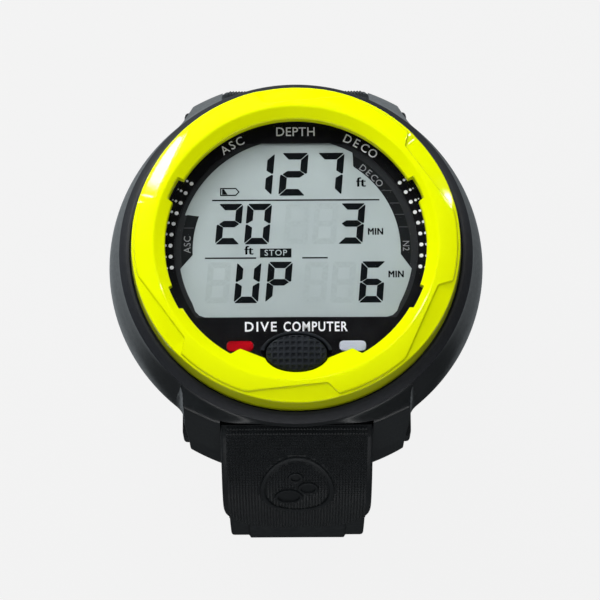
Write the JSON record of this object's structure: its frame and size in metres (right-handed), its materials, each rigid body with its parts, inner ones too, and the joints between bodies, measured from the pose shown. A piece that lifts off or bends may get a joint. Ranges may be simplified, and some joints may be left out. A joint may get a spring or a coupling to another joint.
{
  "type": "dive computer",
  "caption": "Round wrist dive computer with a raised ring bezel, segment display, push button, screw-ring battery hatch and a buckled two-part knurled strap.",
  "frame": {"origin": "centre of the flat case back, on the axis of the round dial", "axes": "+Z out of the display, +Y towards 12 o'clock, +X towards 3 o'clock"},
  "size_m": [0.076, 0.0981, 0.0849],
  "materials": {
    "case_plastic": "fine-grained black moulding",
    "yellow_plastic": "satin fluorescent yellow",
    "lens": "clear polished",
    "seal_rubber": "moulded",
    "dial_black": "printed black mask",
    "lcd_grey": "grey reflective display",
    "white_plastic": "natural moulding",
    "white_gloss": "clear white light pipe",
    "red_plastic": "translucent red light pipe",
    "circuit_board": "green solder mask",
    "chip_black": "epoxy moulding",
    "steel": "turned stainless",
    "brass": "gold-plated contact",
    "button_rubber": "knurled moulding",
    "strap_rubber": "knurled moulding",
    "buckle_plastic": "satin black moulding"
  },
  "bodies": {
    "root": {"case_front": "case_plastic", "case_rear": "case_plastic", "case_gasket": "seal_rubber", "bezel_ring": "yellow_plastic", "lens": "lens", "lens_gasket": "seal_rubber", "case_screw_1": "steel", "case_screw_2": "steel", "case_screw_3": "steel", "case_screw_4": "steel", "dial_mask": "dial_black", "module_frame": "white_plastic", "lcd_panel": "lcd_grey", "lcd_backlight": "white_plastic", "lcd_connector": "seal_rubber", "circuit_board": "circuit_board", "processor_chip": "chip_black", "memory_chip": "chip_black", "clock_crystal": "steel", "buzzer_disc": "brass", "power_capacitor": "chip_black", "alarm_light_pipe": "red_plastic", "alarm_led": "white_plastic", "status_light_pipe": "white_gloss", "status_led": "white_plastic", "button_gland": "case_plastic", "button_o_ring": "seal_rubber", "button_switch": "chip_black", "pressure_sensor": "steel", "sensor_o_ring": "seal_rubber", "sensor_cover": "steel", "data_contact_1": "brass", "data_contact_2": "brass", "data_contact_3": "brass", "battery_cell": "steel", "battery_contact_negative": "brass", "battery_contact_positive": "brass", "spring_bar_6": "steel", "spring_bar_12": "steel"},
    "button": {"button_cap": "button_rubber", "button_stem": "steel", "button_clip": "steel", "button_spring": "steel"},
    "battery_hatch": {"hatch_lid": "case_plastic", "hatch_o_ring": "seal_rubber"},
    "hatch_lock": {"hatch_ring": "case_plastic"},
    "long_strap": {"strap_long": "strap_rubber"},
    "short_strap": {"strap_short": "strap_rubber", "buckle_pin": "steel", "keeper_fixed": "strap_rubber"},
    "buckle": {"buckle_frame": "buckle_plastic"},
    "prong": {"buckle_prong": "steel"},
    "loose_keeper": {"keeper_free": "strap_rubber"}
  },
  "joints": [
    {"name": "button_press", "type": "slide", "parent": "root", "child": "button", "axis": [0, 0, -1], "range_m": [0, 0.0008], "stiffness_N_per_m": 600, "springref_m": -0.001, "deforming": ["button_spring"]},
    {"name": "hatch_lift", "type": "slide", "parent": "root", "child": "battery_hatch", "axis": [0, 0, -1], "range_m": [0, 0.01]},
    {"name": "hatch_ring_turn", "type": "hinge", "parent": "battery_hatch", "child": "hatch_lock", "pos_m": [0, 0, 0], "axis": [0, 0, 1], "range_deg": [0, 20]},
    {"name": "long_strap_swing", "type": "hinge", "parent": "root", "child": "long_strap", "pos_m": [0, -0.033, 0.011], "axis": [-1, 0, 0], "range_deg": [0, 45]},
    {"name": "short_strap_swing", "type": "hinge", "parent": "root", "child": "short_strap", "pos_m": [0, 0.033, 0.011], "axis": [1, 0, 0], "range_deg": [0, 38]},
    {"name": "buckle_swing", "type": "hinge", "parent": "short_strap", "child": "buckle", "pos_m": [0, 0.03656, -0.04201], "axis": [1, 0, 0], "range_deg": [-10, 40]},
    {"name": "prong_lift", "type": "hinge", "parent": "buckle", "child": "prong", "pos_m": [0, 0.03656, -0.04201], "axis": [1, 0, 0], "range_deg": [0, 50]},
    {"name": "keeper_slide", "type": "hinge", "parent": "short_strap", "child": "loose_keeper", "pos_m": [0, 0.01007, -0.02241], "axis": [-1, 0, 0], "range_deg": [-6, 4]}
  ]
}
